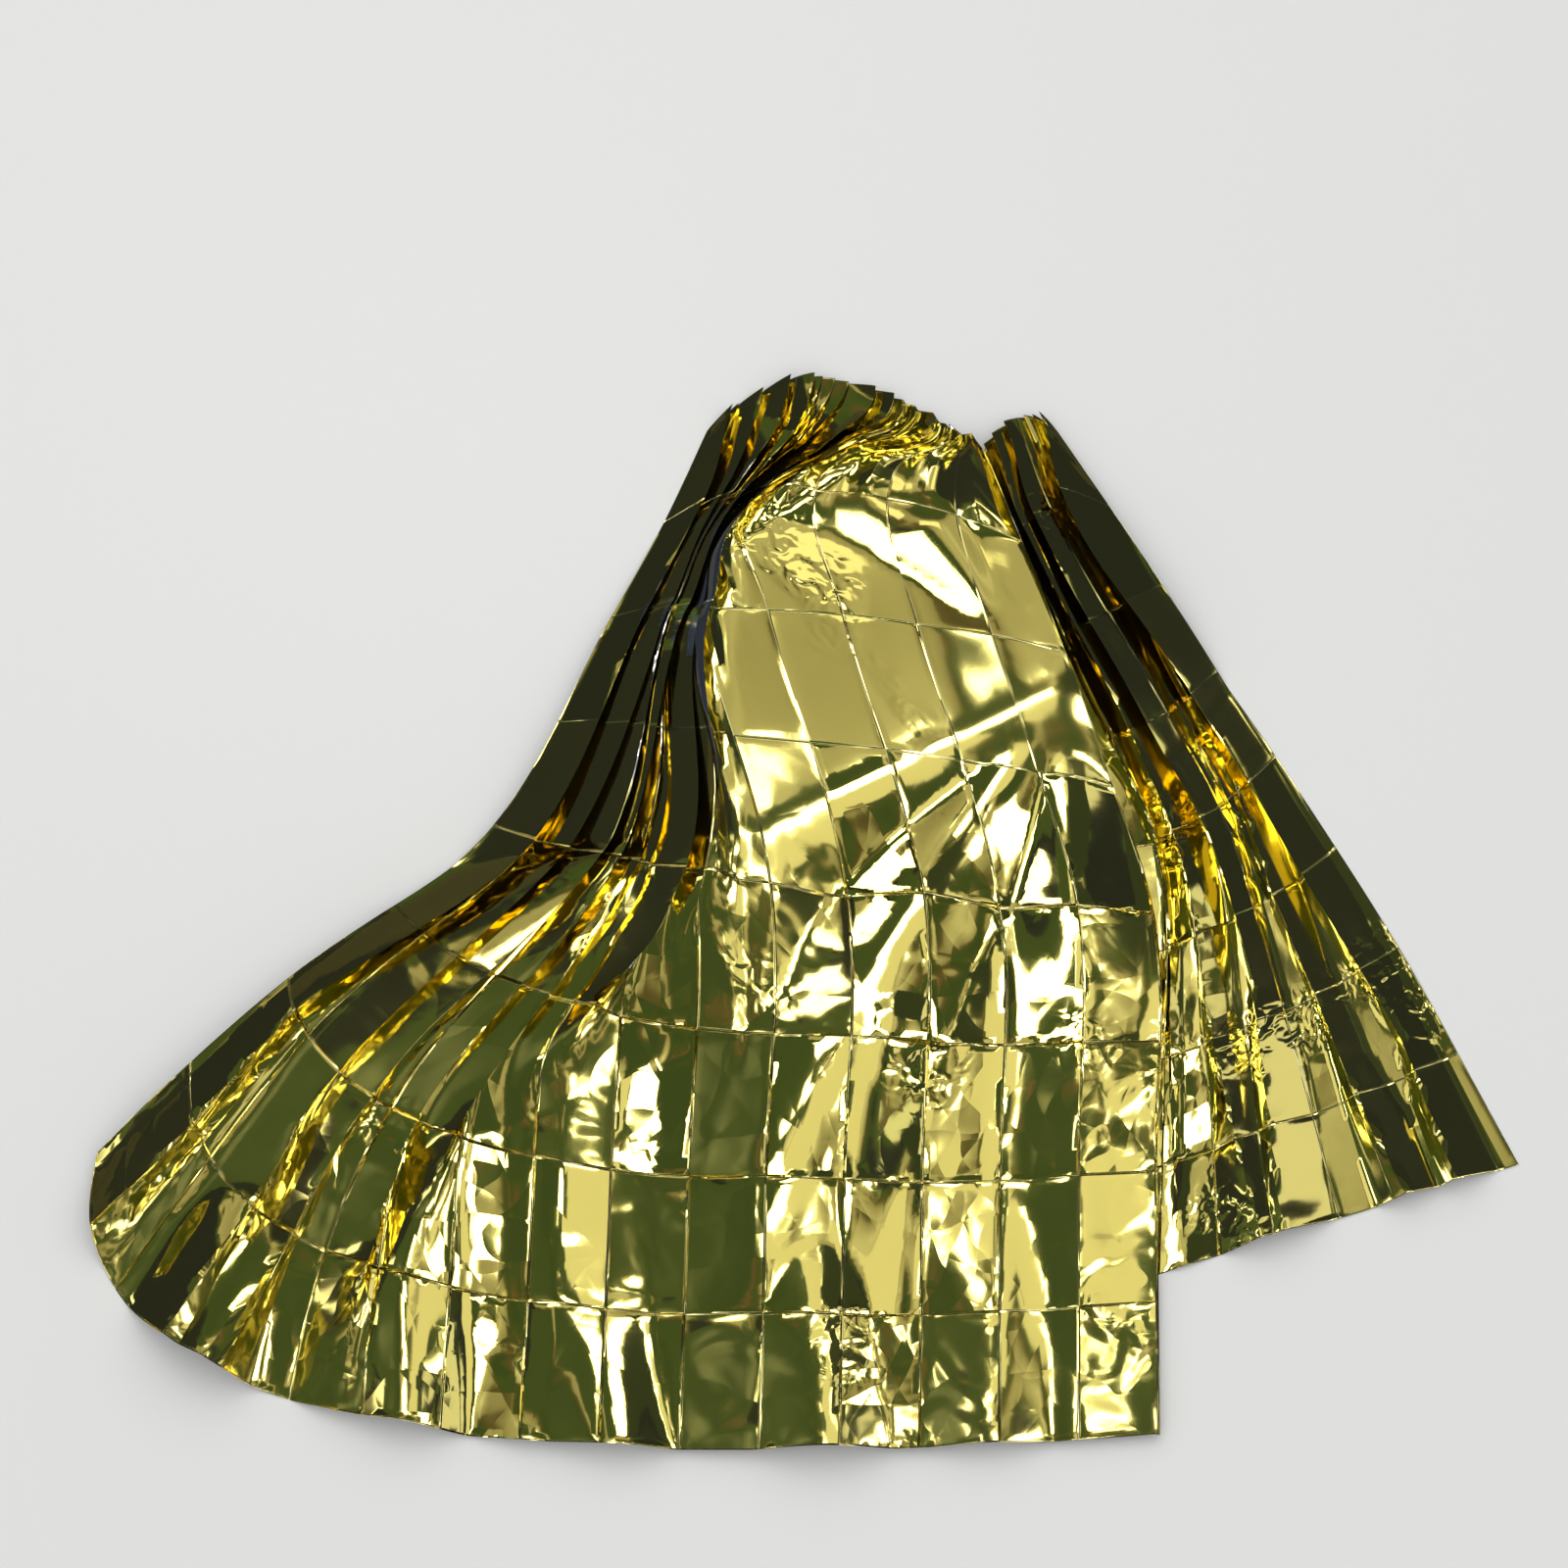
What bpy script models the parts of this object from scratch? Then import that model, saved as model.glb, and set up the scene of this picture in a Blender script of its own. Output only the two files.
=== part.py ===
"""An emergency foil blanket, laid out on the floor with its gold side up.

The film was packed in a grid of small rectangles, so it is creased into columns and rows. Its far edge, the collar,
is gathered into narrow pleats that open out like a fan towards the near edge, the hem. One deep tuck lays the left
of the film over the right of it, and a panel beside the tuck stays almost flat. Every place on the film has two
coordinates: u runs across it from the left edge, and v runs from the hem to the collar, both in metres measured on
the flat film. The rows of creases lie along bows on the floor. Where a bow is shorter than the film along it,
pleats take up the rest, so the height of each pleat follows from its width and from the film's spread there. To
the left and right of the panel the pleats lean over towards it like roof tiles.
"""

import bpy
import numpy as np

# ---- Driving dimensions, in metres ----
WIDTH = 2.10
DROP = 1.30
COLUMNS = 24
ROWS = 8
THICKNESS = 0.0012

CELL_WIDTH = WIDTH / COLUMNS
CELL_DROP = DROP / ROWS
MM = 0.001

# ---- How the rows lie on the floor ----
# Places are in millimetres to the right of and behind the hem's middle. One bow runs from the left edge to the
# tuck, pulled towards left_bend. Another runs from under the tuck to the right edge, pulled towards right_bend.
# The panel beside the tuck starts at the column panel_start and keeps the share panel_spread of its flat width.
# Rows count from the hem.
ROW_FIELDS = (
    "row", "left", "left_bend", "tuck", "from_tuck", "right_bend", "right", "panel_start", "panel_spread"
)
ROWS_ON_FLOOR = (
    (0, (-785, 315), (-865, -95), (380, 0), (385, 180), (605, 250), (788, 305), 5.3, 0.99),
    (2, (-580, 515), (-545, 230), (385, 295), (390, 425), (560, 480), (665, 560), 6.7, 0.985),
    (4, (-355, 700), (-205, 610), (390, 595), (390, 680), (480, 720), (535, 788), 9.9, 0.985),
    (6, (-225, 955), (0, 985), (295, 890), (297, 915), (355, 950), (410, 990), 11.0, 0.985),
    (7, (-165, 1078), (10, 1165), (250, 1035), (252, 1050), (305, 1110), (352, 1090), 12.3, 0.95),
    (8, (-115, 1195), (15, 1335), (205, 1165), (208, 1168), (258, 1240), (296, 1188), 16, 0.40),
)
BOW_STEPS = 40
PANEL_FADE = 1.3

# ---- Valleys between the pleats, where the film comes down to the floor ----
# Each runs up to the collar from about the first row, on a column crease or on a third of the way between two.
# A shallow one stays some millimetres up.
VALLEY_FIELDS = ("column", "first_row", "shallow")
VALLEYS = (
    (0, -6, 0),
    (4 / 3, 2.0, 0),
    (2, -6, 0),
    (10 / 3, 1.7, 3),
    (14 / 3, -6, 0),
    (6, 2.0, 0),
    (20 / 3, 4.3, 3),
    (22 / 3, 0.7, 0),
    (8, 4.0, 0),
    (28 / 3, -6, 0),
    (32 / 3, 5.3, 5),
    (34 / 3, 6.3, 0),
    (12, 2.7, 0),
    (40 / 3, 6.3, 0),
    (14, -6, 0),
    (44 / 3, 6.7, 4),
    (56 / 3, -6, 0),
    (20, 2.3, 4),
    (64 / 3, -6, 0),
    (22, 4.3, 3),
    (68 / 3, 1.3, 0),
    (24, -6, 0),
)
VALLEY_CLIMB = 0.22
FLAT_FLOOR_HEM = 0.030
FLAT_FLOOR_COLLAR = 0.004
PLEAT_SHARE_HEM = 0.40
PLEAT_SHARE_COLLAR = 0.66
COLLAR_EASE = 0.50
COLLAR_EASE_DROP = 0.16

# ---- The pleats lean over: how far their ridges move along the row for each metre of height ----
LEAN_COLUMNS = (0, 7, 11.3, 16, 18.7, 24)
LEAN = (1.6, 1.6, 0.6, 0.0, -0.8, -1.6)

# ---- Folds: straight ridges over the floor from place a to place b, in the millimetres of the rows above ----
# Rise is the ridge's height. Looking from a to b, it spreads by left on one side and by right on the other.
FOLD_FIELDS = ("x_a", "y_a", "x_b", "y_b", "rise_a", "rise_b", "left", "right")
FOLDS = (
    # folds that spread from one point, where the film was drawn up
    (275, 850, -100, 675, 54, 46, 130, 370),
    (275, 850, 145, 1050, 48, 36, 110, 60),
    (145, 1050, -5, 1130, 36, 4, 100, 60),
    (275, 850, 80, 545, 46, 32, 80, 110),
    (80, 545, -105, 40, 32, 4, 90, 80),
    (285, 830, 302, 505, 38, 0, 60, 50),
    # the long fold that goes on to the left edge
    (-100, 675, -445, 525, 44, 46, 190, 90),
    (-445, 525, -725, 370, 46, 26, 150, 90),
    # short folds and facets
    (-150, 930, 10, 812, 26, 2, 50, 70),
    (-535, 495, -528, 180, 36, 0, 80, 60),
    (-580, 475, -765, 312, 28, 8, 70, 50),
    (-640, 340, -675, 20, 0, 34, 60, 70),
    (-435, 260, -435, -30, 0, 28, 50, 60),
    (80, 475, -25, 125, 28, 0, 60, 50),
    (-25, 330, 25, -30, 0, 32, 50, 70),
    (-260, 230, -205, -30, 0, 28, 50, 60),
    (194, 300, 200, -30, 0, 24, 50, 60),
    # folds along the neckline
    (0, 1235, 185, 1020, 16, 18, 34, 34),
    (-60, 1170, 150, 960, 10, 16, 40, 40),
)

# ---- The tuck: the left of the film lies over the right of it by this much ----
TUCK_COLUMN = 16
TUCK_OVERLAP_HEM = 0.080
TUCK_OVERLAP_COLLAR = 0.050
TUCK_RADIUS = 0.0022
TUCK_RAMP = 0.100
TUCK_TURN = np.pi * TUCK_RADIUS
TURN_STEPS = 3
QUIET_MARGIN = 0.008
QUIET_FADE = 0.030

# ---- Unevenness of the cells: how far their corners stand off the floor ----
CORNER_SEED = 11
CORNER_LIFT = 0.010
CORNER_ON_FLOOR = 0.35
RESTING_FIELDS = ("column", "row")
RESTING = ((2, 1), (5, 1), (9, 1), (14, 1), (19, 1), (22, 1))

# ---- The mesh: its columns and rows in each cell, and how far its two faces may part at a sharp fold ----
COLUMN_STEPS = 3
ROW_STEPS = 4
LONGEST_OFFSET = 0.004


def smooth(t):
    """0 up to t = 0, 1 from t = 1, with a soft start and end."""
    t = np.clip(t, 0, 1)
    return t * t * (3 - 2 * t)


def row_on_floor(v):
    """ROWS_ON_FLOOR at v, as a dict of places in metres, along a smooth curve through the table."""
    knots = np.array([row[0] for row in ROWS_ON_FLOOR]) * CELL_DROP
    table = np.array([np.append(np.ravel(row[1:-2]) * MM, row[-2:]) for row in ROWS_ON_FLOOR])
    slopes = np.gradient(table, knots, axis=0)
    i = int(np.clip(np.searchsorted(knots, v) - 1, 0, len(knots) - 2))
    span = knots[i + 1] - knots[i]
    t = (v - knots[i]) / span
    values = table[i] + (table[i + 1] - table[i]) * smooth(t)
    values += span * (slopes[i] * t * (1 - t) ** 2 - slopes[i + 1] * t * t * (1 - t))
    row = dict(zip(ROW_FIELDS[1:-2], values[:-2].reshape(-1, 2)))
    row.update(zip(ROW_FIELDS[-2:], values[-2:]))
    return row


def bow(start, bend, end):
    """(the length of a bow, its places at even steps, the share of the length used up at each)."""
    t = np.linspace(0, 1, BOW_STEPS + 1)[:, None]
    places = start * (1 - t) ** 2 + bend * 2 * t * (1 - t) + end * t * t
    steps = np.hypot(*np.diff(places, axis=0).T)
    used = np.concatenate([[0], np.cumsum(steps)])
    return used[-1], places, used / used[-1]


def overlap(v):
    """How far the tuck's upper layer lies over the lower one."""
    return TUCK_OVERLAP_HEM + (TUCK_OVERLAP_COLLAR - TUCK_OVERLAP_HEM) * v / DROP


def hidden_length(v):
    """How much of the film the tuck folds away."""
    return 2 * TUCK_TURN + 2 * overlap(v)


def tuck_shift(past, v):
    """(how far a place past the tuck's upper fold lies along the row from that fold, how high it lies).

    Left of the fold the film climbs a ramp and lies over the tuck. It turns over the upper fold, runs back under
    itself, turns again at the lower fold and goes on along the floor.
    """
    back = overlap(v)
    climb = 4 * TUCK_RADIUS
    first = np.clip(past / TUCK_TURN, 0, 1) * np.pi
    second = np.clip((past - TUCK_TURN - back) / TUCK_TURN, 0, 1) * np.pi
    run = TUCK_RADIUS * (np.sin(first) - np.sin(second))
    returned = np.clip(past - TUCK_TURN, 0, back)
    beyond = np.clip(past - 2 * TUCK_TURN - back, 0, back)
    ramp = climb * smooth(1 + (past + back + TUCK_RADIUS) / TUCK_RAMP)
    lift = np.where(past < 0, ramp, climb - TUCK_RADIUS * (2 - np.cos(first) - np.cos(second)))
    return run - returned + beyond, lift


def left_film(length, panel_start, panel_spread):
    """(marks across the film left of the tuck, how much of the bow is used up at each, the film's spread there)."""
    fold = TUCK_COLUMN * CELL_WIDTH
    columns = np.linspace(0, TUCK_COLUMN, 4 * TUCK_COLUMN + 1)
    panel = smooth((columns - panel_start) / PANEL_FADE + 0.5)
    inside = panel.mean()
    rest = (length / fold - panel_spread * inside) / (1 - inside)
    spread = rest + (panel_spread - rest) * panel
    used = np.concatenate([[0], np.cumsum(spread[1:] + spread[:-1])])
    return columns * CELL_WIDTH, used / used[-1], spread


def lie(u, v):
    """(the places of one row on the floor, the film's spread there: 1 is not gathered at all)."""
    row = row_on_floor(v)
    fold = TUCK_COLUMN * CELL_WIDTH
    right_start = fold + hidden_length(v)
    left_length, left_places, left_used = bow(row["left"], row["left_bend"], row["tuck"])
    right_length, right_places, right_used = bow(row["from_tuck"], row["right_bend"], row["right"])
    marks, shares, spreads = left_film(left_length, row["panel_start"], row["panel_spread"])
    left_share = np.interp(u, marks, shares)
    right_share = np.clip((u - right_start) / (WIDTH - right_start), 0, 1)
    left = np.stack([np.interp(left_share, left_used, axis) for axis in left_places.T], axis=1)
    right = np.stack([np.interp(right_share, right_used, axis) for axis in right_places.T], axis=1)
    toward = row["tuck"] - row["left_bend"]
    toward = toward / np.hypot(*toward)
    progress = smooth((u - fold) / hidden_length(v))[:, None]
    hidden = row["tuck"] + (row["from_tuck"] - row["tuck"]) * progress
    hidden = hidden + tuck_shift(u - fold, v)[0][:, None] * toward
    places = np.where((u <= fold)[:, None], left, np.where((u < right_start)[:, None], hidden, right))
    spread = np.where(u <= fold, np.interp(u, marks, spreads), right_length / (WIDTH - right_start))
    return places, np.clip(spread, 0, 1)


def pleat_height(u, v, spread):
    """The height of the pleats: every side of a pleat is as steep as the film's spread there asks for."""
    fold = TUCK_COLUMN * CELL_WIDTH
    from_floor = np.abs(u - fold)
    from_floor = np.minimum(from_floor, np.abs(u - fold - hidden_length(v)))
    for line in VALLEYS:
        valley = dict(zip(VALLEY_FIELDS, line))
        fading = max(valley["first_row"] * CELL_DROP - v, 0) * VALLEY_CLIMB
        away = np.abs(u - valley["column"] * CELL_WIDTH)
        from_floor = np.minimum(from_floor, away + fading + valley["shallow"] * MM)
    floor = FLAT_FLOOR_HEM + (FLAT_FLOOR_COLLAR - FLAT_FLOOR_HEM) * v / DROP
    share = PLEAT_SHARE_HEM + (PLEAT_SHARE_COLLAR - PLEAT_SHARE_HEM) * smooth(1.7 * v / DROP)
    share = share * (1 - COLLAR_EASE * smooth((v - DROP) / COLLAR_EASE_DROP + 1))
    return share * np.sqrt(1 - spread**2) * np.clip(from_floor - floor, 0, None)


def fold_height(places):
    """How far the slanting folds lift the film: each is a soft ridge along its line, and the highest one counts."""
    height = np.zeros(len(places))
    for line in FOLDS:
        fold = dict(zip(FOLD_FIELDS, line))
        start = np.array([fold["x_a"], fold["y_a"]]) * MM
        run = np.array([fold["x_b"], fold["y_b"]]) * MM - start
        along = np.clip((places - start) @ run / (run @ run), 0, 1)
        away = np.hypot(*(places - start - along[:, None] * run).T)
        rise = (fold["rise_a"] + along * (fold["rise_b"] - fold["rise_a"])) * MM
        off_line = (places - start) @ np.array([-run[1], run[0]]) / np.hypot(*run)
        leftness = smooth(0.5 + 0.5 * off_line / (away + 1e-6))
        reach = (fold["right"] + leftness * (fold["left"] - fold["right"])) * MM
        soft = np.clip(1 - away / reach, 0, None)
        height = np.maximum(height, rise * (0.7 * soft + 0.3 * smooth(soft)))
    return height


def corner_lifts():
    """The lift of each cell corner: none at some of them, nor beside the creases that rest on the floor."""
    draw = np.random.RandomState(CORNER_SEED).rand(COLUMNS + 1, ROWS + 1)
    lifts = CORNER_LIFT * np.clip((draw - CORNER_ON_FLOOR) / (1 - CORNER_ON_FLOOR), 0, 1)
    for line in RESTING:
        crease = dict(zip(RESTING_FIELDS, line))
        lifts[crease["column"] - 1 : crease["column"] + 2, crease["row"] : crease["row"] + 2] = 0
    return lifts


def cell_height(u, v):
    """The lift between the corners of the cells, which are flat or slightly twisted panels."""
    lifts = corner_lifts()
    column = np.clip((u / CELL_WIDTH).astype(int), 0, COLUMNS - 1)
    row = min(int(v / CELL_DROP), ROWS - 1)
    across = u / CELL_WIDTH - column
    up = v / CELL_DROP - row
    near = lifts[column, row] * (1 - across) + lifts[column + 1, row] * across
    far = lifts[column, row + 1] * (1 - across) + lifts[column + 1, row + 1] * across
    return near * (1 - up) + far * up


def film_row(u, v):
    """x, y and z of the places u of the row v, on the film's underside."""
    places, spread = lie(u, v)
    past = u - TUCK_COLUMN * CELL_WIDTH
    quiet = np.where(past <= 0, 1.0, smooth((past - hidden_length(v) - QUIET_MARGIN) / QUIET_FADE))
    pleats = pleat_height(u, v, spread) * quiet
    row_direction = np.gradient(places, axis=0)
    row_direction /= np.hypot(*row_direction.T)[:, None] + 1e-9
    lean = np.interp(u, np.array(LEAN_COLUMNS) * CELL_WIDTH, LEAN) * pleats * (1 - spread)
    places = places + row_direction * lean[:, None]
    height = pleats + (fold_height(places) + cell_height(u, v)) * quiet + tuck_shift(past, v)[1]
    return places[:, 0], places[:, 1], height


def column_lines(v):
    """u of each line of the mesh that runs from hem to collar: even steps in each cell, and the tuck."""
    steps = np.arange(COLUMN_STEPS * COLUMNS + 1) * CELL_WIDTH / COLUMN_STEPS
    tuck = TUCK_COLUMN * CELL_WIDTH
    turn = np.arange(TURN_STEPS + 1) * TUCK_TURN / TURN_STEPS
    bends = np.concatenate([tuck + turn[1:], tuck + TUCK_TURN + overlap(v) + turn])
    return np.sort(np.concatenate([steps, bends]))


def blanket_mesh():
    """The film's underside as a grid of faces whose lines follow the creases, centred over the origin."""
    vs = np.arange(ROW_STEPS * ROWS + 1) * CELL_DROP / ROW_STEPS
    places = np.array([np.stack(film_row(column_lines(v), v), axis=1) for v in vs])
    low, high = places.min(axis=(0, 1)), places.max(axis=(0, 1))
    places[..., :2] -= ((low + high) / 2)[:2]
    rows, lines = places.shape[:2]
    bpy.ops.mesh.primitive_grid_add(x_subdivisions=lines - 1, y_subdivisions=rows - 1, size=1)
    grid = bpy.context.object
    grid.name = "blanket"
    grid.data.vertices.foreach_set("co", places.astype(np.float32).ravel())
    grid.data.update()
    return grid


def ease_sharp_folds(blanket, film):
    """Thins the film on its sharpest folds, where an even thickness would stand out as a spike."""
    count = len(blanket.data.vertices)
    shell = blanket.evaluated_get(bpy.context.evaluated_depsgraph_get()).data
    places = np.empty(6 * count, dtype=np.float32)
    shell.vertices.foreach_get("co", places)
    places = places.reshape(-1, 3)
    offsets = np.linalg.norm(places[count:] - places[:count], axis=1)
    group = blanket.vertex_groups.new(name="thickness")
    for i, offset in enumerate(offsets):
        group.add([i], min(1, LONGEST_OFFSET / offset), "REPLACE")
    film.vertex_group = group.name


def foil_material():
    """Gold lacquer over bright metal."""
    material = bpy.data.materials.new("gold_foil")
    material.use_nodes = True
    shader = material.node_tree.nodes["Principled BSDF"]
    shader.inputs["Base Color"].default_value = (0.72, 0.58, 0.16, 1)
    shader.inputs["Metallic"].default_value = 1.0
    shader.inputs["Roughness"].default_value = 0.12
    return material


def main():
    for old in list(bpy.data.objects):
        bpy.data.objects.remove(old)
    parts = bpy.data.collections.new("emergency_foil_blanket")
    bpy.context.scene.collection.children.link(parts)
    blanket = blanket_mesh()
    for holder in list(blanket.users_collection):
        holder.objects.unlink(blanket)
    parts.objects.link(blanket)
    film = blanket.modifiers.new("film", "SOLIDIFY")
    film.thickness = THICKNESS
    film.offset = 1.0
    film.use_even_offset = True
    ease_sharp_folds(blanket, film)
    blanket.data.materials.append(foil_material())


main()
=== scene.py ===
"""An emergency foil blanket laid out on the floor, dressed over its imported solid.

Each step of the making is an operator in the 3D view's sidebar, and main() calls them in order.
"""

import bpy
import numpy as np
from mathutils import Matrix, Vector


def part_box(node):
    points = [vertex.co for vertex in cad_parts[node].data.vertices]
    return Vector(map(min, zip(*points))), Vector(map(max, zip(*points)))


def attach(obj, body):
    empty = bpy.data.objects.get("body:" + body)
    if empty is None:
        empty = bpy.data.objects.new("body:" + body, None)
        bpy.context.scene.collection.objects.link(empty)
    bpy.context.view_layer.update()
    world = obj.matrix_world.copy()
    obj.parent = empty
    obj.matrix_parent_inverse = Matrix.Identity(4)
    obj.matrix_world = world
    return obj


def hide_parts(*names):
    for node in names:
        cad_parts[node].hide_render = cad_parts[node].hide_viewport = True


bl_info = {
    "name": "Foil Blanket",
    "version": (1, 0, 0),
    "blender": (4, 5, 0),
    "location": "View3D > Sidebar > Foil Blanket",
    "description": "Lays out a creased emergency foil blanket and lights it",
    "category": "Object",
}

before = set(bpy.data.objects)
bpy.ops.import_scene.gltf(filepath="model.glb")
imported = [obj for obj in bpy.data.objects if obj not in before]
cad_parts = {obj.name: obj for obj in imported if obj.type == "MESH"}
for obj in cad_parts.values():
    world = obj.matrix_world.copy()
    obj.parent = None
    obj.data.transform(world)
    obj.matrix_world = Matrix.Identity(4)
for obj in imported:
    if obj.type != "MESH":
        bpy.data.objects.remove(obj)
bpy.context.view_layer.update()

# ---- The flat film, in metres: u runs across it from the left edge, v from the hem to the collar ----
WIDTH = 2.10
DROP = 1.30
COLUMNS = 24
ROWS = 8
CELL_WIDTH = WIDTH / COLUMNS
CELL_DROP = DROP / ROWS
MM = 0.001

# ---- How the rows lie on the floor ----
# Places are in millimetres to the right of and behind the hem's middle. One bow runs from the left
# edge to the tuck, pulled towards left_bend. Another runs from under the tuck to the right edge, pulled
# towards right_bend. The panel beside the tuck starts at the column panel_start and keeps the share
# panel_spread of its flat width. Rows count from the hem.
ROW_FIELDS = (
    "row", "left", "left_bend", "tuck", "from_tuck", "right_bend", "right", "panel_start", "panel_spread"
)
ROWS_ON_FLOOR = (
    (0, (-785, 315), (-865, -95), (380, 0), (385, 180), (605, 250), (788, 305), 5.3, 0.99),
    (2, (-580, 515), (-545, 230), (385, 295), (390, 425), (560, 480), (665, 560), 6.7, 0.985),
    (4, (-355, 700), (-205, 610), (390, 595), (390, 680), (480, 720), (535, 788), 9.9, 0.985),
    (6, (-225, 955), (0, 985), (295, 890), (297, 915), (355, 950), (410, 990), 11.0, 0.985),
    (7, (-165, 1078), (10, 1165), (250, 1035), (252, 1050), (305, 1110), (352, 1090), 12.3, 0.95),
    (8, (-115, 1195), (15, 1335), (205, 1165), (208, 1168), (258, 1240), (296, 1188), 16, 0.40),
)
BOW_STEPS = 60
# The panel's edge is this many columns wide.
PANEL_FADE = 1.3

# ---- Valleys between the pleats, where the film comes down to the floor ----
# Each runs up a column crease to the collar from about the first row. A shallow one stays some
# millimetres up. Wander is how far its line strays to each side, in millimetres.
VALLEY_FIELDS = ("column", "first_row", "shallow", "wander")
VALLEYS = (
    (0, -6, 0, 0),
    (1.33, 2.0, 0, 5),
    (2, -6, 0, 4),
    (3.33, 1.7, 3, 6),
    (4.67, -6, 0, 5),
    (6, 2.0, 0, 5),
    (6.67, 4.3, 3, 4),
    (7.33, 0.7, 0, 6),
    (8, 4.0, 0, 4),
    (9.33, -6, 0, 4),
    (10.67, 5.3, 5, 6),
    (11.33, 6.3, 0, 4),
    (12, 2.7, 0, 6),
    (13.33, 6.3, 0, 4),
    (14, -6, 0, 4),
    (14.67, 6.7, 4, 3),
    (18.67, -6, 0, 4),
    (20, 2.3, 4, 5),
    (21.33, -6, 0, 4),
    (22, 4.3, 3, 4),
    (22.67, 1.3, 0, 5),
    (24, -6, 0, 0),
)
# A valley's line strays as a wave, in radians for each metre up the film, and each column shifts it.
STRAY_WAVE = 9
STRAY_PHASE = 1.7
# Below its first row a valley fills up: it counts as further off by this share of the way down from it.
VALLEY_CLIMB = 0.22
# The flat floor to each side of a valley's line.
FLAT_FLOOR_HEM = 0.030
FLAT_FLOOR_COLLAR = 0.004
# How steep the sides are, as a share of what the gathered width asks for: upright pleats, which are
# steeper from the hem up, and laid ones, which are steeper where the film is spread.
UPRIGHT_SHARE_HEM = 0.40
UPRIGHT_SHARE_COLLAR = 0.66
UPRIGHT_GROWTH = 1.7
LAID_SHARE_CLOSE = 0.32
LAID_SHARE_SPREAD = 0.75
LAID_POWER = 1.5
# Over the last stretch up to the collar the pleats lose this share.
COLLAR_EASE = 0.50
COLLAR_EASE_DROP = 0.16
# From this height up, film that is hardly gathered is stretched smooth, with no pleats.
STRETCH_FROM = 0.62
STRETCH_DROP = 0.15
STRETCH_OVER = 0.10

# ---- The pleats lean over: how far their ridges move along the row for each metre of height ----
LEAN_COLUMNS = (0, 7, 11.3, 16, 18.7, 24)
LEAN = (3.0, 3.0, 0.6, 0.0, -1.5, -3.0)
FULL_LEAN = 3.0

# ---- Folds: straight ridges over the floor from place a to place b, in the rows' millimetres ----
# Rise is the ridge's height. Looking from a to b, it spreads by left on one side, by right on the other.
FOLD_FIELDS = ("x_a", "y_a", "x_b", "y_b", "rise_a", "rise_b", "left", "right")
FOLDS = (
    # folds that spread from one point, where the film was drawn up
    (275, 850, -100, 675, 54, 46, 130, 370),
    (275, 850, 145, 1050, 48, 36, 110, 60),
    (145, 1050, -5, 1130, 36, 4, 100, 60),
    (275, 850, 80, 545, 46, 32, 80, 110),
    (80, 545, -105, 40, 32, 4, 90, 80),
    (285, 830, 302, 505, 38, 0, 60, 50),
    # the long fold that goes on to the left edge
    (-100, 675, -445, 525, 44, 46, 190, 90),
    (-445, 525, -725, 370, 46, 26, 150, 90),
    # short folds and facets
    (-150, 930, 10, 812, 26, 2, 50, 70),
    (-535, 495, -528, 180, 36, 0, 80, 60),
    (-580, 475, -765, 312, 28, 8, 70, 50),
    (-640, 340, -675, 20, 0, 34, 60, 70),
    (-435, 260, -435, -30, 0, 28, 50, 60),
    (80, 475, -25, 125, 28, 0, 60, 50),
    (-25, 330, 25, -30, 0, 32, 50, 70),
    (-260, 230, -205, -30, 0, 28, 50, 60),
    (194, 300, 200, -30, 0, 24, 50, 60),
    # folds along the neckline
    (0, 1235, 185, 1020, 16, 18, 34, 34),
    (-60, 1170, 150, 960, 10, 16, 40, 40),
)
RIDGE_ROUND = 0.020
# The share of a ridge that falls off in straight sides; the rest is soft.
RIDGE_STRAIGHT = 0.7

# ---- The tuck: the left of the film lies over the right of it by this much ----
TUCK_COLUMN = 16
TUCK_OVERLAP_HEM = 0.080
TUCK_OVERLAP_COLLAR = 0.050
TUCK_RADIUS = 0.0022
TUCK_RAMP = 0.100
TUCK_TURN = np.pi * TUCK_RADIUS
TURN_STEPS = 6
# Past the tuck the film stays plain for the margin, and its pleats start over the fade.
QUIET_MARGIN = 0.008
QUIET_FADE = 0.030

# ---- The cells between the packing creases ----
# Corners are lifted, but for this share of them and for those beside the creases that rest on the floor.
CORNER_SEED = 11
CORNER_LIFT = 0.010
CORNER_ON_FLOOR = 0.35
RESTING_FIELDS = ("column", "row")
RESTING = ((2, 1), (5, 1), (9, 1), (14, 1), (19, 1), (22, 1))
# A cell bulges up by up to the pillow, or down by half as much, and loses most of its corners' twist.
CELL_SEED = 5
PILLOW = 0.0005
PILLOW_SHARES = (0.2, 1.0)
PILLOW_DOWN = 0.5
FLATNESS = 0.75
# The creases are thin ridges and grooves that fade at the crossings.
CREASE_SEED = 8
CREASE_HEIGHT = 0.0010
CREASE_HALF = 0.0016
CREASE_END = 0.02
CREASE_END_SHARE = 0.3
CROSSING_END = 0.01
# Kinks are short ridges and troughs inside a cell, and this share of them starts at one of its corners.
KINK_SEED = 23
MOST_KINKS = 4
KINK_AT_CORNER = 0.6
KINK_RISE = 0.0034
KINK_RISES = (-0.8, 1.0)
KINK_REACH = 0.034
KINK_REACHES = (0.5, 1.3)
KINK_FADE = 0.7
KINK_TIP = 1.05
KINK_ROUND = 0.003
KINK_EDGE = 0.014
# The film is drawn tight towards the collar and at the far right, where less of this small relief is left.
CALM_FROM = 0.62
CALM_OVER = 0.20
CALM_RIGHT_FROM = 1.66
CALM_RIGHT_OVER = 0.10
CALM_SHARE = 0.65

# ---- The lines of the mesh in each cell ----
LINES_ACROSS = 12
LINES_DOWN = 20


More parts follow.
